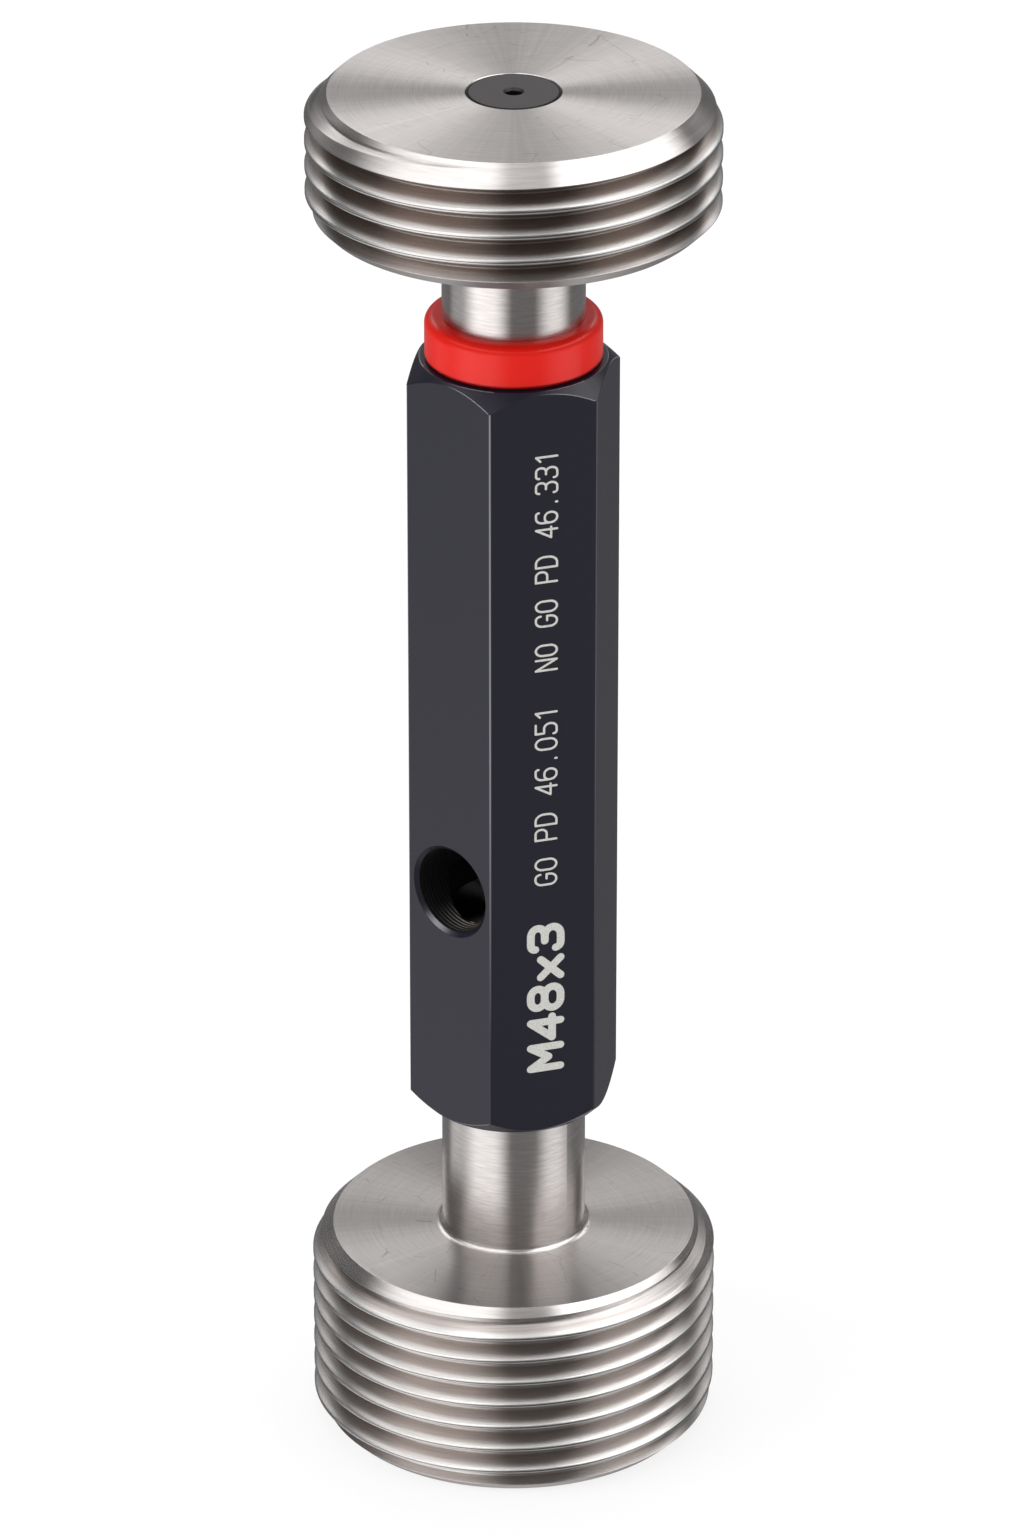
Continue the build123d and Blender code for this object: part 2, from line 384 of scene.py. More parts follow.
def threadMasks(tree, place, radius, upright, head):
    # 1 all over the thread but not on the flat faces or the chamfers, which lie at 45 degrees;
    # and 1 on its flanks and root, below the bright band of the ground crests, where shade is painted
    # deeper in the groove
    low, high, rim = head
    threaded = (high - low) / 2 - steel["runOut"]   # half the length that gets the thread's colours and painted groove shade
    height = addNode(tree, "ShaderNodeSeparateXYZ", None, i0=place).outputs["Z"]
    off = maths(tree, "SUBTRACT", height, (low + high) / 2)
    fromMiddle = maths(tree, "ABSOLUTE", off)
    inHead = fade(tree, fromMiddle, threaded - steel["runOutFade"], threaded, 1.0, 0.0, smooth=True)
    chamfer = maths(tree, "COMPARE", upright, math.cos(math.radians(45)), steel["chamferMargin"])
    clear = maths(tree, "SUBTRACT", inHead, chamfer, clamp=True)
    outer = maths(tree, "GREATER_THAN", radius, steel["headShare"] * rim)
    thread = maths(tree, "MULTIPLY", clear, outer)
    depth = fade(tree, radius, rim - steel["groundFade"], rim - steel["groundReach"], 1.0, 0.0, smooth=True)
    turned = maths(tree, "MULTIPLY", depth, thread)
    return thread, turned


def crestCourse(nodeName, head):
    # where the crest's middle crosses height 0, in turns round the axis, and half the crest's height
    low, high, rim = head
    ends = 2 * steel["pitch"]   # the thread's first and last turns are cut off by the chamfers
    turns = []
    for vertex in frame["nodes"][nodeName].data.vertices:
        x, y, z = vertex.co
        if math.hypot(x, y) > rim - steel["crestDepth"] and low + ends < z < high - ends:
            turns.append(z / steel["pitch"] - math.atan2(y, x) / (2 * math.pi))
    total = sum(cmath.exp(2j * math.pi * t) for t in turns)
    middle = cmath.phase(total) / (2 * math.pi)
    half = max(abs((t - middle + 0.5) % 1 - 0.5) for t in turns) * steel["pitch"]
    print("crest of", nodeName, "is", round(2 * half / mm, 3), "mm wide")
    return middle, half


def crestLine(tree, place, radius, head, course):
    # 1 on a fine line that follows the thread along the crest's lower edge
    middle, half = course
    axes = addNode(tree, "ShaderNodeSeparateXYZ", None, i0=place)
    around = maths(tree, "ARCTAN2", axes.outputs["Y"], axes.outputs["X"])
    back = maths(tree, "MULTIPLY", around, -1 / (2 * math.pi))
    turns = maths(tree, "MULTIPLY_ADD", axes.outputs["Z"], 1 / steel["pitch"], back)
    lineTurn = middle + (steel["lineFromEdge"] - half) / steel["pitch"]
    off = maths(tree, "SUBTRACT", turns, lineTurn)
    wrapped = maths(tree, "WRAP", off, 0.5, -0.5)
    away = maths(tree, "ABSOLUTE", wrapped)
    halfLine = steel["lineWidth"] / 2 / steel["pitch"]
    line = fade(tree, away, (1 - steel["lineSoft"]) * halfLine, (1 + steel["lineSoft"]) * halfLine,
                1.0, 0.0, smooth=True)
    onCrest = maths(tree, "GREATER_THAN", radius, head[2] - steel["lineDepth"])
    return maths(tree, "MULTIPLY", line, onCrest)


def handlingMarks(tree, place, upright):
    # 1 on hairlines of the flat faces: borders of large bent cells, broken into short pieces by a noise
    bend = addNode(tree, "ShaderNodeTexNoise", None,
                   Vector=place, Scale=steel["markBend"] / steel["markSpacing"])
    moved = addNode(tree, "ShaderNodeVectorMath", {"operation": "MULTIPLY_ADD"},
                    i0=bend.outputs["Color"], i1=[steel["markSpacing"]] * 3, i2=place)
    cells = addNode(tree, "ShaderNodeTexVoronoi", {"feature": "DISTANCE_TO_EDGE"},
                    Vector=moved.outputs[0], Scale=1 / steel["markSpacing"])
    line = maths(tree, "LESS_THAN", cells.outputs["Distance"], steel["markWidth"] / steel["markSpacing"])
    pieces = addNode(tree, "ShaderNodeTexNoise", None,
                     Vector=place, Scale=steel["markPieces"] / steel["markSpacing"])
    shown = maths(tree, "GREATER_THAN", pieces.outputs["Fac"], steel["markGap"])
    face = maths(tree, "GREATER_THAN", upright, steel["flatLimit"])
    broken = maths(tree, "MULTIPLY", line, shown)
    return maths(tree, "MULTIPLY", broken, face)


def shoulderFlat(tree, place, upright, head, endFace):
    # 1 on the flat of the shoulder, which lies further from the end face than half the head's height
    height = addNode(tree, "ShaderNodeSeparateXYZ", None, i0=place).outputs["Z"]
    off = maths(tree, "SUBTRACT", height, endFace)
    away = maths(tree, "ABSOLUTE", off)
    far = maths(tree, "GREATER_THAN", away, (head[1] - head[0]) / 2)
    flat = maths(tree, "GREATER_THAN", upright, steel["flatLimit"])
    return maths(tree, "MULTIPLY", far, flat)


def steelMaterial(nodeName, label, endFace):
    material, tree = newMaterial("turnedToolSteel" + label)
    coords = addNode(tree, "ShaderNodeTexCoord")
    place = coords.outputs["Object"]
    radius = radiusFromAxis(tree, place)
    facing = addNode(tree, "ShaderNodeSeparateXYZ", None, i0=coords.outputs["Normal"])
    upright = maths(tree, "ABSOLUTE", facing.outputs["Z"])
    lay, rays = turningLay(tree, place, radius)
    head = headSpan(nodeName)
    thread, turned = threadMasks(tree, place, radius, upright, head)
    marks = handlingMarks(tree, place, upright)
    faceFrom, faceTo = steel["flatFade"]

    bright = mixColours(tree, thread, linear(steel["colour"]), linear(steel["groundColour"]))
    # the flanks and roots get a turned finish colour that also holds painted shade deeper in the groove
    base = mixColours(tree, turned, bright, linear(steel["flankFinishAndShadeColours"][nodeName]))
    tint = fade(tree, lay, *noiseRange, 1 - steel["layContrast"], 1.0)
    dulled = maths(tree, "MULTIPLY_ADD", marks, -steel["markContrast"], tint)
    face = fade(tree, upright, faceFrom, faceTo, 0.0, -steel["rayContrast"])
    deeper = maths(tree, "SUBTRACT", rays, noiseMiddle)
    rayed = maths(tree, "MULTIPLY_ADD", deeper, face, dulled)
    shoulder = shoulderFlat(tree, place, upright, head, endFace)
    # painted shade on the shoulder flats
    darker = fade(tree, shoulder, 0.0, 1.0, 1.0, steel["shoulderPaintedShade"])
    shade = maths(tree, "MULTIPLY", rayed, darker)
    line = crestLine(tree, place, radius, head, crestCourse(nodeName, head))
    lined = fade(tree, line, 0.0, 1.0, 1.0, steel["lineShade"])
    dark = maths(tree, "MULTIPLY", shade, lined)
    colour = addNode(tree, "ShaderNodeVectorMath", {"operation": "SCALE"}, i0=base, Scale=dark)
    faced = fade(tree, upright, faceFrom, faceTo, steel["roughness"], steel["faceRoughness"])
    smoother = steel["shoulderRoughness"] - steel["faceRoughness"]
    rough = maths(tree, "MULTIPLY_ADD", shoulder, smoother, faced)
    reach = fade(tree, thread, 0.0, 1.0, steel["edgeBreak"], steel["crestBreak"])
    rounded = addNode(tree, "ShaderNodeBevel", {"samples": bevelSamples}, Radius=reach)
    bump = addNode(tree, "ShaderNodeBump", None, Strength=1.0, Distance=steel["layDepth"],
                   Height=lay, Normal=rounded.outputs[0])
    tangent = addNode(tree, "ShaderNodeTangent", {"direction_type": "RADIAL", "axis": "Z"})
    # the quarter turn sets the highlight across the lay
    shader = addNode(tree, "ShaderNodeBsdfPrincipled", None, Metallic=1.0, Roughness=rough,
                     Anisotropic=steel["anisotropic"], Tangent=tangent.outputs[0], Normal=bump.outputs[0],
                     **{"Base Color": colour.outputs[0], "Anisotropic Rotation": 0.25})
    finishMaterial(tree, shader.outputs[0])
    return material


dress("go_member", steelMaterial("go_member", "Go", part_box("go_member")[0][2]))
dress("no_go_member", steelMaterial("no_go_member", "NoGo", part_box("no_go_member")[1][2]))
print("steel members dressed")


# Handle: hexagon bar, black anodised after machining, which leaves a fine even grain and a dull sheen.
# Drilling leaves fine rings in the cross hole.
anodised = {
    "colour": "151423",
    "ior": 1.45,
    "boreShadeColour": "010101",   # painted shade: the bores are made near-black
    "edgeHighlightColour": "A6A6AA",   # painted highlight on the edges, a pale grey
    "arcHighlight": 1.0,           # painted highlight on the turned arcs at both ends
    "arcHighlightSpan": (0.42, 0.72),   # parts of an arc, from one corner: where its painted highlight starts, and is whole
    "arcRadius": 10.4 * mm,   # the arcs lie outside this radius, and the ring's seat inside it
    "sharpness": (0.999, 0.95),   # cosine between rounded and plain surface: without highlight, and with all of it
    "flats": 6,
    "longEdgeHighlight": 0.55,         # painted highlight on the six long edges, less towards the GO end
    "rightEdgeHighlightShare": 0.25,           # share of that highlight on the edge right of the marking
    "rightEdgeHighlightReach": (1.0 * mm, 0.5 * mm),   # inwards from that edge: where that smaller share starts, and is whole
    "longHighlightWidth": 0.04 * mm,   # how far the painted highlight reaches in from the long edges
    "longReach": 0.10 * mm,   # this far in from a long edge only its own highlight counts
    "longHighlightRise": (12 * mm, 50 * mm),   # above the foot: where the long edges' highlight starts, and is whole
    "roughness": 0.33,
    "satinSpread": 0.04,      # the grain makes the roughness go up and down by this
    "boreRoughness": 0.95,
    "grainSize": 0.12 * mm,   # a real etch is about 0.02 mm; drawn coarser, so that it shows
    "grainDepth": 0.003 * mm,
    "edgeBreak": 0.15 * mm,
    "ringPitch": 0.52 * mm,   # the drill's rings in the cross hole, one for each turn
    "ringDepth": 0.03 * mm,
    "boreLip": 0.45 * mm,     # the rings start this far inside the flats
    "slack": 0.05 * mm,       # this near to the cross hole's radius a surface is its wall
    "lipStart": 0.02 * mm,    # the lip starts this far inside the flats
    "lipWidth": 0.50 * mm,
    "lipRoom": 1.0 * mm,      # this far round the hole only the lip's own highlight counts
    "lipHighlightStrength": 0.55,
    "lipShine": (-113, 25),   # a painted highlight, a crescent on the lip: degrees round the hole, and half its width
    "ringShine": (-92, 44),   # and where a highlight is painted on the rings, deeper in
    "ringColour": "D8CDC4",
    "shineReach": 4.5 * mm,
    "socketReach": 9.0 * mm,  # inside this radius only the bores' walls lie
    "endLip": 0.3 * mm,
}


def roundWindow(tree, angle, centre, half):
    # 1 near one direction round a hole, 0 further from it than half the window; degrees
    off = maths(tree, "SUBTRACT", angle, math.radians(centre))
    away = maths(tree, "ABSOLUTE", off)
    return fade(tree, away, 0.0, math.radians(half), 1.0, 0.0, smooth=True)


def crossHole(tree, place):
    # on the wall of the cross hole: where it is, the waves that the drill left, and where a highlight is
    # painted on them;
    # the painted highlight on its lip; and 1 beyond the lip
    mount = next(m for m in frame["record"]["mounts"] if m["name"] == "cross_hole")
    wall = mount["dims"]["r_mm"] * mm
    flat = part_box("handle")[1][1]
    offset = addNode(tree, "ShaderNodeVectorMath", {"operation": "SUBTRACT"},
                     i0=place, i1=(0, 0, mount["pos_m"][2]))
    axes = addNode(tree, "ShaderNodeSeparateXYZ", None, i0=offset.outputs[0])
    square = addNode(tree, "ShaderNodeVectorMath", {"operation": "MULTIPLY"},
                     i0=offset.outputs[0], i1=(1, 0, 1))
    away = addNode(tree, "ShaderNodeVectorMath", {"operation": "LENGTH"}, i0=square.outputs[0])
    near = maths(tree, "LESS_THAN", away.outputs["Value"], wall + anodised["slack"])
    side = maths(tree, "ABSOLUTE", axes.outputs["Y"])
    deep = maths(tree, "LESS_THAN", side, flat - anodised["boreLip"])
    inside = maths(tree, "MULTIPLY", near, deep)
    turn = maths(tree, "ARCTAN2", axes.outputs["Z"], axes.outputs["X"])
    phase = maths(tree, "MULTIPLY_ADD", axes.outputs["Y"], 2 * math.pi / anodised["ringPitch"], turn)
    wave = maths(tree, "SINE", phase)
    rings = maths(tree, "MULTIPLY", wave, inside)

    bottom = roundWindow(tree, turn, *anodised["ringShine"])
    deeper = fade(tree, side, flat - anodised["boreLip"], flat - anodised["shineReach"])
    lit = maths(tree, "MULTIPLY", bottom, deeper)
    shine = maths(tree, "MULTIPLY", rings, lit, clamp=True)

    lipNear = maths(tree, "LESS_THAN", away.outputs["Value"], wall + anodised["lipWidth"])
    lipDeep = maths(tree, "LESS_THAN", side, flat - anodised["lipStart"])
    lipOnly = maths(tree, "SUBTRACT", lipDeep, deep)
    lip = maths(tree, "MULTIPLY", lipNear, lipOnly)
    crescent = maths(tree, "MULTIPLY", lip, roundWindow(tree, turn, *anodised["lipShine"]))
    lipHighlight = maths(tree, "MULTIPLY", crescent, anodised["lipHighlightStrength"])
    beyond = maths(tree, "GREATER_THAN", away.outputs["Value"], wall + anodised["lipRoom"])
    return inside, rings, shine, lipHighlight, beyond


def socketBores(tree, place):
    # 1 on the walls of the bores that run along the axis
    low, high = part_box("handle")
    radius = radiusFromAxis(tree, place)
    central = maths(tree, "LESS_THAN", radius, anodised["socketReach"])
    height = addNode(tree, "ShaderNodeSeparateXYZ", None, i0=place).outputs["Z"]
    within = maths(tree, "COMPARE", height, (low[2] + high[2]) / 2,
                   (high[2] - low[2]) / 2 - anodised["endLip"])
    return maths(tree, "MULTIPLY", central, within)


def paintedEdgeHighlights(tree, place, rounded):
    # painted highlight: high where a narrow rounding turns the surface away from its own normal, which is
    # at sharp edges, and along the hexagon's six long edges, which stand furthest from the axis
    plain, turned = anodised["sharpness"]
    own = addNode(tree, "ShaderNodeNewGeometry").outputs["Normal"]
    agree = addNode(tree, "ShaderNodeVectorMath", {"operation": "DOT_PRODUCT"}, i0=rounded, i1=own)
    sharp = fade(tree, agree.outputs["Value"], plain, turned, 0.0, anodised["arcHighlight"])
    foot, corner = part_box("handle")[0][2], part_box("handle")[1][0]
    radius = radiusFromAxis(tree, place)
    axes = addNode(tree, "ShaderNodeSeparateXYZ", None, i0=place)
    # the painted highlight lies on the same half of every arc
    around = maths(tree, "ARCTAN2", axes.outputs["Y"], axes.outputs["X"])
    flats = maths(tree, "MULTIPLY", around, anodised["flats"] / (2 * math.pi))
    along = maths(tree, "FRACT", flats)
    half = fade(tree, along, *anodised["arcHighlightSpan"], smooth=True)
    outer = maths(tree, "GREATER_THAN", radius, anodised["arcRadius"])
    onArc = maths(tree, "MULTIPLY", half, outer)
    arcs = maths(tree, "MULTIPLY", sharp, onArc)
    long = fade(tree, radius, corner - anodised["longHighlightWidth"], corner, 0.0, anodised["longEdgeHighlight"])
    start, whole = anodised["longHighlightRise"]
    spareFrom, spareTo = anodised["rightEdgeHighlightReach"]
    highlightRise = fade(tree, axes.outputs["Z"], foot + start, foot + whole)
    right = fade(tree, axes.outputs["X"], corner - spareFrom, corner - spareTo, 1.0, anodised["rightEdgeHighlightShare"])
    highlightShare = maths(tree, "MULTIPLY", highlightRise, right)
    longHighlight = maths(tree, "MULTIPLY", long, highlightShare)
    # on a long edge only the long edges' painted highlight counts, and elsewhere the sharpness
    onLong = maths(tree, "GREATER_THAN", radius, corner - anodised["longReach"])
    return addNode(tree, "ShaderNodeMix", None, Factor=onLong, i2=arcs, i3=longHighlight).outputs[0]


def anodisedMaterial():
    material, tree = newMaterial("blackAnodisedAluminium")
    place = addNode(tree, "ShaderNodeTexCoord").outputs["Object"]
    cross, rings, shine, lipHighlight, beyond = crossHole(tree, place)
    inside = maths(tree, "MAXIMUM", cross, socketBores(tree, place))
    grain = addNode(tree, "ShaderNodeTexNoise", None, Vector=place,
                    Scale=1 / anodised["grainSize"], Detail=2.0, Roughness=0.6)
    rounded = addNode(tree, "ShaderNodeBevel", {"samples": bevelSamples},
                      Radius=anodised["edgeBreak"]).outputs[0]
    etched = addNode(tree, "ShaderNodeBump", None, Strength=1.0, Distance=anodised["grainDepth"],
                     Height=grain.outputs["Fac"], Normal=rounded)
    drilled = addNode(tree, "ShaderNodeBump", None, Strength=1.0, Distance=anodised["ringDepth"],
                      Height=rings, Normal=etched.outputs[0])
    # painted highlight on the handle's edges and on the cross hole's lip
    outside = maths(tree, "MULTIPLY", paintedEdgeHighlights(tree, place, rounded), beyond)
    paintedHighlight = maths(tree, "MAXIMUM", outside, lipHighlight)
    highlighted = mixColours(tree, paintedHighlight, linear(anodised["colour"]), linear(anodised["edgeHighlightColour"]))
    # painted shade inside the cross hole and the bores
    boreShaded = mixColours(tree, inside, highlighted, linear(anodised["boreShadeColour"]))
    # painted highlight on the drill rings, deeper in the cross hole
    base = mixColours(tree, shine, boreShaded, linear(anodised["ringColour"]))
    satin = fade(tree, grain.outputs["Fac"], *noiseRange, anodised["roughness"] - anodised["satinSpread"],
                 anodised["roughness"] + anodised["satinSpread"])
    rough = maths(tree, "MULTIPLY_ADD", inside, anodised["boreRoughness"] - anodised["roughness"], satin)
    shader = addNode(tree, "ShaderNodeBsdfPrincipled", None, Roughness=rough, IOR=anodised["ior"],
                     Normal=drilled.outputs[0], **{"Base Color": base})
    finishMaterial(tree, shader.outputs[0])
    return material


dress("handle", anodisedMaterial())
print("handle dressed")


# Marker ring: moulded PVC, which gives a soft, even gloss. Shade is painted along its foot, where it sits
# on the handle.
ringPlastic = {
    "colour": "E01505",
    "footShadeColour": "8C0C08",
    "footShadeHeight": (0.35 * mm, 0.65 * mm),   # above the foot: where the painted shade thins out, and ends
    "ior": 1.38,
    "roughness": 0.24,
    "mottleSize": 1.2 * mm,   # slow waves that the mould leaves in soft plastic
    "mottleDepth": 0.01 * mm,
}


def ringMaterial():
    material, tree = newMaterial("mouldedRedPvc")
    place = addNode(tree, "ShaderNodeTexCoord").outputs["Object"]
    mottle = addNode(tree, "ShaderNodeTexNoise", None,
                     Vector=place, Scale=1 / ringPlastic["mottleSize"], Detail=2.0)
    bump = addNode(tree, "ShaderNodeBump", None, Strength=1.0, Distance=ringPlastic["mottleDepth"],
                   Height=mottle.outputs["Fac"])
    height = addNode(tree, "ShaderNodeSeparateXYZ", None, i0=place).outputs["Z"]
    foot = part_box("no_go_ring")[0][2]
    thin, end = ringPlastic["footShadeHeight"]
    # painted shade along the ring's foot
    unshaded = fade(tree, height, foot + thin, foot + end, smooth=True)
    colour = mixColours(tree, unshaded, linear(ringPlastic["footShadeColour"]), linear(ringPlastic["colour"]))
    shader = addNode(tree, "ShaderNodeBsdfPrincipled", None, Roughness=ringPlastic["roughness"],
                     IOR=ringPlastic["ior"], Normal=bump.outputs[0], **{"Base Color": colour})
    finishMaterial(tree, shader.outputs[0])
    return material


dress("no_go_ring", ringMaterial())
print("ring dressed")


# Centre plugs: blackened steel, faced with a fine feed, dull and nearly even
plug = {
    "colour": "2A2628",
    "seamShadeColour": "060606",    # painted shade in the seam round the plug
    "seamShadeWidth": 0.26 * mm,
    "holeShadeColour": "030303",
    "holeRadius": 1.3 * mm,   # from here inwards, and below the mouth, shade is painted in the hole
    "mouthDepth": 0.3 * mm,
    "roughness": 0.45,
    "rimRoughness": 1.0,
    "grainSize": 0.15 * mm,   # a real one is about 0.03 mm; drawn coarser, so that it shows
    "grainDepth": 0.003 * mm,
}


def plugMaterial(nodeName, label):
    material, tree = newMaterial("blackenedSteel" + label)
    low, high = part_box(nodeName)
    place = addNode(tree, "ShaderNodeTexCoord").outputs["Object"]
    radius = radiusFromAxis(tree, place)
    grain = addNode(tree, "ShaderNodeTexNoise", None, Vector=place, Scale=1 / plug["grainSize"])
    bump = addNode(tree, "ShaderNodeBump", None,
                   Strength=1.0, Distance=plug["grainDepth"], Height=grain.outputs["Fac"])
    # painted shade along the seam round the plug
    seam = maths(tree, "GREATER_THAN", radius, high[0] - plug["seamShadeWidth"])
    height = addNode(tree, "ShaderNodeSeparateXYZ", None, i0=place).outputs["Z"]
    off = maths(tree, "SUBTRACT", height, (low[2] + high[2]) / 2)
    fromMiddle = maths(tree, "ABSOLUTE", off)
    below = maths(tree, "LESS_THAN", fromMiddle, (high[2] - low[2]) / 2 - plug["mouthDepth"])
    central = maths(tree, "LESS_THAN", radius, plug["holeRadius"])
    # painted shade deep in the centre hole
    hole = maths(tree, "MULTIPLY", below, central)
    rimmed = mixColours(tree, seam, linear(plug["colour"]), linear(plug["seamShadeColour"]))
    holed = mixColours(tree, hole, rimmed, linear(plug["holeShadeColour"]))
    rough = fade(tree, seam, 0.0, 1.0, plug["roughness"], plug["rimRoughness"])
    shader = addNode(tree, "ShaderNodeBsdfPrincipled", None, Roughness=rough, Normal=bump.outputs[0],
                     **{"Base Color": holed})
    finishMaterial(tree, shader.outputs[0])
    return material


dress("go_centre_plug", plugMaterial("go_centre_plug", "Go"))
dress("no_go_centre_plug", plugMaterial("no_go_centre_plug", "NoGo"))
print("centre plugs dressed")


# Marking: the thread's size and its two limits, laser-marked pale along one flat of the handle
marking = {
    "flatAzimuth": 330.0,     # degrees round from +X
    "sideways": 0.36 * mm,    # the lines stand a little right of the flat's middle
    "proud": 0.012 * mm,
    "sunk": 0.020 * mm,
    "colour": "CBCAC5",       # the laser bleaches the dye and leaves a fine chalky pitting
    "pitColour": "A9A8A4",
    "pitSize": 0.10 * mm,     # real pits are about 0.03 mm; drawn coarser, so that they show
    "pitRange": (0.45, 0.70),   # values of the noise where the pits start, and are whole
    "roughness": 0.65,
    "shortest": 0.001,        # mm: shorter pieces of a stroke are left out
    "weld": 0.0001,           # mm: corners nearer than this become one
    "straight": 0.001,        # radians: edges that bend less than this become one
}
# Each line runs up the flat: mm above the foot, letter height and stroke width in mm
markingLines = [
    {"name": "size_mark", "text": "M48x3",
     "start": 50.0, "end": 69.4, "height": 4.6, "stroke": 0.95},
    {"name": "go_limit_mark", "text": "GO PD 46.051",
     "start": 74.4, "end": 97.4, "height": 2.8, "stroke": 0.27},
    {"name": "no_go_limit_mark", "text": "NO GO PD 46.331",
     "start": 102.0, "end": 129.6, "height": 2.8, "stroke": 0.27},
]
# Engraver's letters on a cell 4 wide and 6 high: strokes, each with its own corner radius
cellWide, cellHigh, cellGap = 4, 6, 1.7
letters = {
    "M": [(0, [(0, 0), (0, 6), (2, 2.4), (4, 6), (4, 0)])],
    "N": [(0, [(0, 0), (0, 6), (4, 0), (4, 6)])],
    "D": [(2.4, [(0, 0), (4, 0), (4, 6), (0, 6)]), (0, [(0, 6), (0, 0)])],
    "P": [(1.6, [(0, 2.8), (4, 2.8), (4, 6), (0, 6)]), (0, [(0, 6), (0, 0)])],
    "G": [(1.9, [(4, 4.6), (4, 6), (0, 6), (0, 0), (4, 0), (4, 2.8)]),
          (0, [(4, 1.9), (4, 2.8), (2.3, 2.8)])],
    "O": [(2.0, [(2, 0), (4, 0), (4, 6), (0, 6), (0, 0), (2, 0)])],
    "x": [(0, [(0.3, 0), (3.7, 4)]), (0, [(0.3, 4), (3.7, 0)])],
    ".": [(0, [(2, 0), (2, 0.35)])],
    "0": [(2.0, [(2, 0), (4, 0), (4, 6), (0, 6), (0, 0), (2, 0)])],
    "1": [(0, [(0.8, 4.8), (2.4, 6), (2.4, 0)])],
    "3": [(1.6, [(0, 5.1), (0, 6), (4, 6), (4, 3.2), (1.5, 3.2)]),
          (1.6, [(1.5, 3.2), (4, 3.2), (4, 0), (0, 0), (0, 1)])],
    "4": [(0, [(3.1, 0), (3.1, 6), (0, 1.7), (4, 1.7)])],
    "5": [(0, [(3.7, 6), (0.4, 6), (0.4, 3.6), (2, 3.6)]),
          (1.8, [(0.4, 3.6), (4, 3.6), (4, 0), (0, 0), (0, 0.9)])],
    "6": [(1.9, [(4, 5.2), (4, 6), (0, 6), (0, 0), (4, 0), (4, 3.5), (0, 3.5), (0, 2)])],
    "8": [(1.5, [(2, 3.2), (3.8, 3.2), (3.8, 6), (0.2, 6), (0.2, 3.2), (2, 3.2)]),
          (1.6, [(2, 0), (4, 0), (4, 3.2), (0, 3.2), (0, 0), (2, 0)])],
}
arcSteps = 6                  # straight pieces in a letter's rounded corner, or in a half-round stroke end


def roundedStroke(points, radius):
    # the stroke's points with each inner corner replaced by an arc
    corners = [Vector(p) for p in points]
    path = [corners[0]]
    for before, corner, after in zip(corners, corners[1:], corners[2:]):
        toBefore, toAfter = before - corner, after - corner
        reach = min(radius, toBefore.length / 2 if before is not corners[0] else toBefore.length,
                    toAfter.length / 2 if after is not corners[-1] else toAfter.length)
        if reach == 0:
            path.append(corner)
            continue
        start = corner + toBefore.normalized() * reach
        end = corner + toAfter.normalized() * reach
        centre = start + end - corner
        for step in range(arcSteps + 1):
            angle = math.pi / 2 * step / arcSteps
            path.append(centre + (start - centre) * math.cos(angle) + (end - centre) * math.sin(angle))
    path.append(corners[-1])
    return path


def capsule(start, end, half):
    # a straight piece of stroke with half-round ends
    heading = math.atan2(end.y - start.y, end.x - start.x)
    outline = []
    for centre, first in ((end, -math.pi / 2), (start, math.pi / 2)):
        for step in range(arcSteps + 1):
            angle = heading + first + math.pi * step / arcSteps
            outline.append(Vector((centre.x + half * math.cos(angle), centre.y + half * math.sin(angle))))
    return outline


def textOutlines(line):
    # outlines in mm, x along the line and y up the letters, with the middle of their height at 0
    count = len(line["text"])
    unitX = (line["end"] - line["start"] - line["stroke"]) / (count * (cellWide + cellGap) - cellGap)
    unitY = (line["height"] - line["stroke"]) / cellHigh
    outlines = []
    for index, letter in enumerate(line["text"]):
        if letter == " ":
            continue
        left = line["start"] + line["stroke"] / 2 + index * (cellWide + cellGap) * unitX
        for radius, points in letters[letter]:
            stroke = roundedStroke(points, radius)
            path = [Vector((left + p.x * unitX, (p.y - cellHigh / 2) * unitY)) for p in stroke]
            for start, end in zip(path, path[1:]):
                if (end - start).length > marking["shortest"]:
                    outlines.append(capsule(start, end, line["stroke"] / 2))
    return outlines


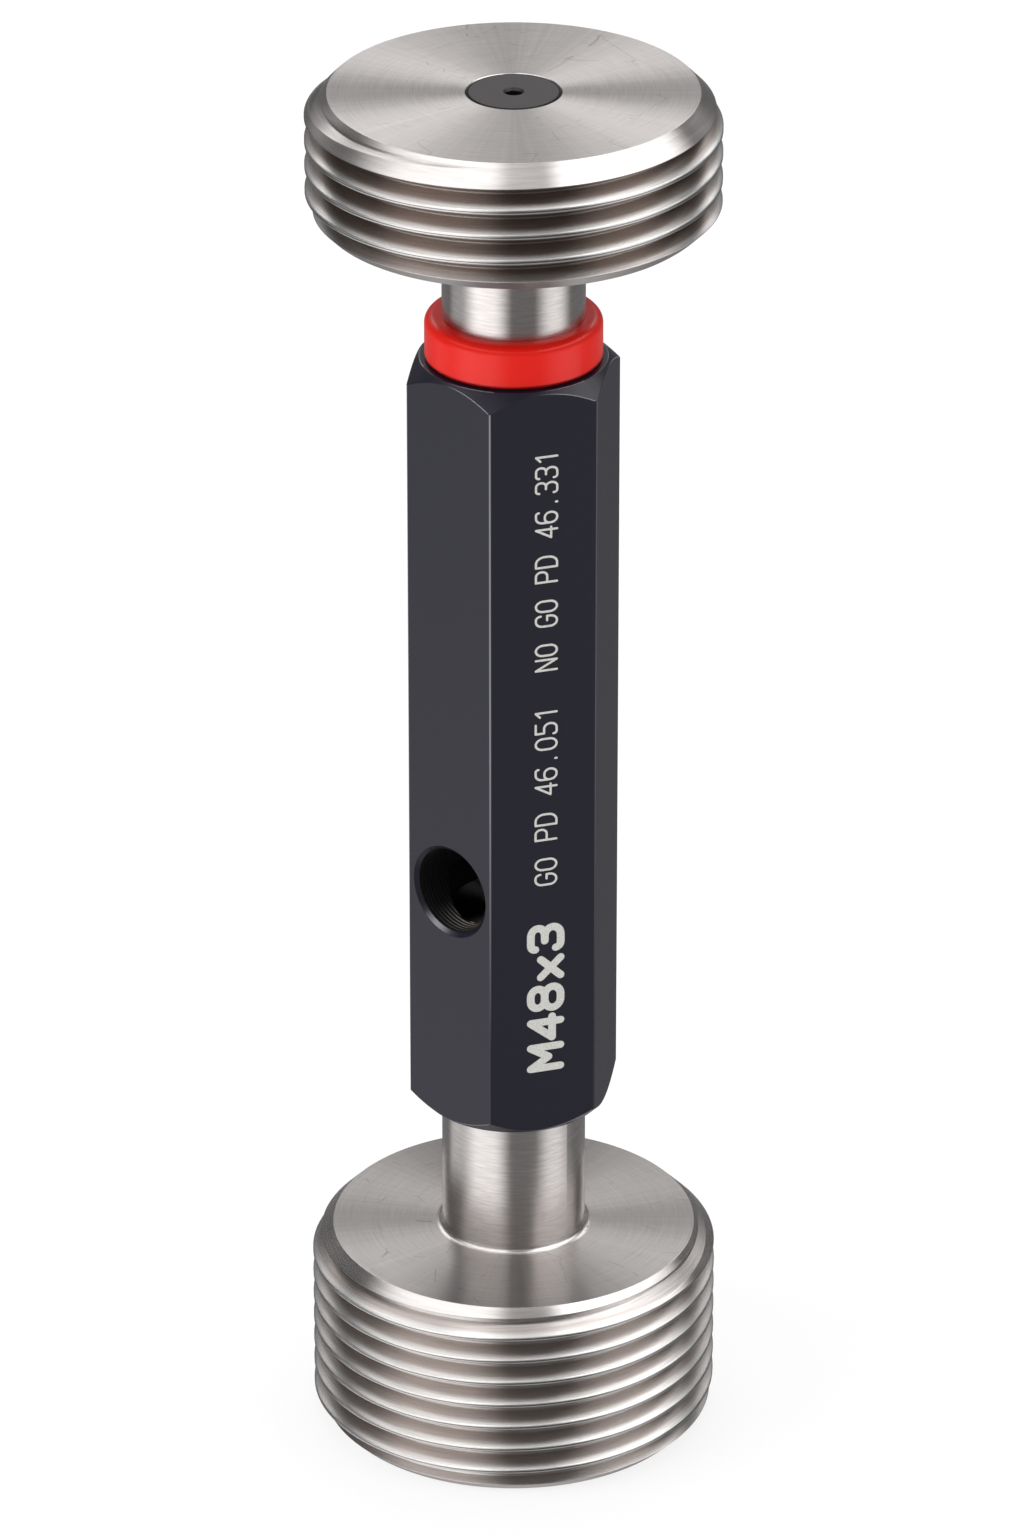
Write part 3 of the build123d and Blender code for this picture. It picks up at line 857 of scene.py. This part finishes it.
def makeMarkingLine(line, material):
    points, faces = [], []
    for outline in textOutlines(line):
        faces.append(list(range(len(points), len(points) + len(outline))))
        points.extend(outline)
    # overlapping pieces of stroke become one flat mesh, then a closed slab
    merged = delaunay_2d_cdt(points, [], faces, 1, marking["weld"])
    bm = bmesh.new()
    corners = [bm.verts.new((p.x * mm, p.y * mm, -marking["sunk"])) for p in merged[0]]
    for face, sources in zip(merged[2], merged[5]):
        if sources:   # what no stroke covers, such as the eye of a 4, stays open
            bm.faces.new([corners[i] for i in face])
    bmesh.ops.delete(bm, geom=[v for v in bm.verts if not v.link_faces], context="VERTS")
    bmesh.ops.dissolve_limit(bm, angle_limit=marking["straight"], verts=bm.verts, edges=bm.edges)
    raised = bmesh.ops.extrude_face_region(bm, geom=bm.faces[:], use_keep_orig=True)["geom"]
    top = [part for part in raised if isinstance(part, bmesh.types.BMVert)]
    bmesh.ops.translate(bm, verts=top, vec=(0, 0, marking["sunk"] + marking["proud"]))
    bmesh.ops.recalc_face_normals(bm, faces=bm.faces)
    bmesh.ops.triangulate(bm, faces=[face for face in bm.faces if len(face.verts) > 4])
    # the extrusion adds its side faces in another order each run
    for index, face in enumerate(sorted(bm.faces, key=lambda face: tuple(face.calc_center_median()))):
        face.index = index
    bm.faces.sort()
    # from the text's own axes to the flat: along +Z, letter tops to the left, out of the flat
    angle = math.radians(marking["flatAzimuth"])
    outward = Vector((math.cos(angle), math.sin(angle), 0))
    tops = Vector((math.sin(angle), -math.cos(angle), 0))
    toFlat = Matrix((Vector((0, 0, 1)), tops, outward)).transposed().to_4x4()
    toFlat.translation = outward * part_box("handle")[1][1] - tops * marking["sideways"]
    bm.transform(toFlat)
    mesh = bpy.data.meshes.new(line["name"])
    bm.to_mesh(mesh)
    bm.free()
    mesh.materials.append(material)
    piece = bpy.data.objects.new(line["name"], mesh)
    bpy.context.scene.collection.objects.link(piece)
    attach(piece, "root")
    return len(mesh.polygons)


def laserMaterial():
    material, tree = newMaterial("laserMarkedAnodising")
    place = addNode(tree, "ShaderNodeTexCoord").outputs["Object"]
    pits = addNode(tree, "ShaderNodeTexNoise", None, Vector=place, Scale=1 / marking["pitSize"], Detail=2.0)
    share = fade(tree, pits.outputs["Fac"], *marking["pitRange"])
    colour = mixColours(tree, share, linear(marking["colour"]), linear(marking["pitColour"]))
    shader = addNode(tree, "ShaderNodeBsdfPrincipled", None, Roughness=marking["roughness"],
                     **{"Base Color": colour})
    finishMaterial(tree, shader.outputs[0])
    return material


laserLook = laserMaterial()
markFaces = [makeMarkingLine(line, laserLook) for line in markingLines]
print("marking made, faces:", markFaces)
